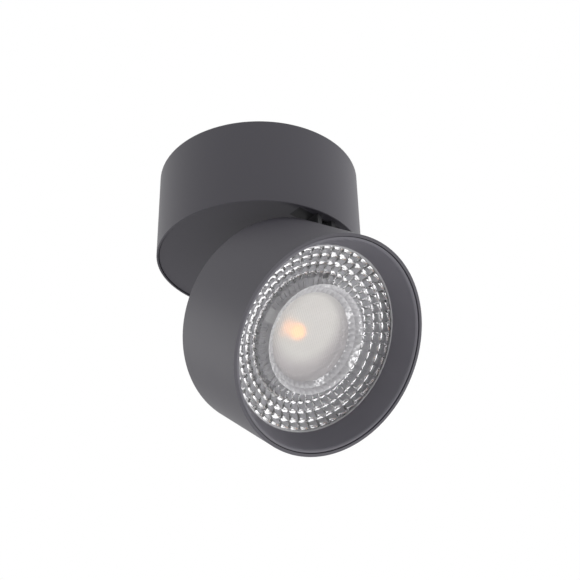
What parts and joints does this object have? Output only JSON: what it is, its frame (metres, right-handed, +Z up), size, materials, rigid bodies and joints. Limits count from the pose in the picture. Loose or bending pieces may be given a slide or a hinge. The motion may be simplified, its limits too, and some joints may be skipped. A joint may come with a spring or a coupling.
{
  "type": "surface mounted ceiling spotlight",
  "caption": "Short round ceiling base with a turntable in its underside and a round lamp head of like size hinged at its rim, with a recessed faceted clear lens.",
  "frame": {"origin": "centre of the ceiling face of the base", "axes": "+Z up into the ceiling along the turntable's axis, -Y towards the hinge, X along the hinge pin"},
  "size_m": [0.1, 0.1269, 0.1513],
  "materials": {
    "graphite_paint": "fine matt graphite powder coat",
    "baffle_paint": "smooth matt graphite coat",
    "steel": "zinc plated steel",
    "dark_steel": "blackened steel",
    "raw_aluminium": "plain cast and machined aluminium",
    "brass": "brass",
    "rubber": "soft black rubber",
    "white_plastic": "white moulded plastic",
    "black_plastic": "black moulded plastic",
    "grey_plastic": "pale grey moulded plastic",
    "circuit_board": "green circuit board",
    "ceramic_board": "white coated board",
    "phosphor": "amber phosphor",
    "clear_plastic": "clear moulded optical plastic",
    "can_film": "dark blue shrink film"
  },
  "bodies": {
    "base": {"mounting_plate": "steel", "cable_grommet": "rubber", "base_housing": "graphite_paint", "lock_screw": "dark_steel", "glide_ring": "white_plastic", "driver_case": "white_plastic", "driver_lid": "white_plastic", "driver_board": "circuit_board", "driver_transformer": "black_plastic", "driver_capacitors": "can_film", "driver_screws": "steel", "terminal_block": "white_plastic", "terminal_screws": "brass", "terminal_fixing_screw": "steel", "earth_screw": "brass"},
    "turntable": {"turntable": "graphite_paint", "pivot_tube": "dark_steel", "pivot_bush": "white_plastic", "wave_washer": "steel", "pivot_nut": "steel", "stop_pin": "steel", "hinge_bracket": "dark_steel", "bracket_screws": "steel"},
    "head": {"head_housing": "graphite_paint", "hinge_block": "dark_steel", "hinge_block_screws": "steel", "hinge_pin": "dark_steel", "hinge_washers": "steel", "lead_grommet": "rubber", "heat_sink": "raw_aluminium", "heat_sink_screws": "steel", "thermal_pad": "grey_plastic", "led_board": "ceramic_board", "led_emitter": "phosphor", "led_holder": "black_plastic", "holder_screws": "steel", "locating_key": "grey_plastic", "lens": "clear_plastic", "baffle": "baffle_paint", "lens_ring": "black_plastic", "ring_screws": "steel"}
  },
  "joints": [
    {"name": "pan", "type": "hinge", "parent": "base", "child": "turntable", "pos_m": [0, 0, -0.0432], "axis": [0, 0, 1], "range_deg": [-175, 175]},
    {"name": "tilt", "type": "hinge", "parent": "turntable", "child": "head", "pos_m": [0, -0.0433, -0.0549], "axis": [-1, 0, 0], "range_deg": [-52.8, 37.2]}
  ]
}
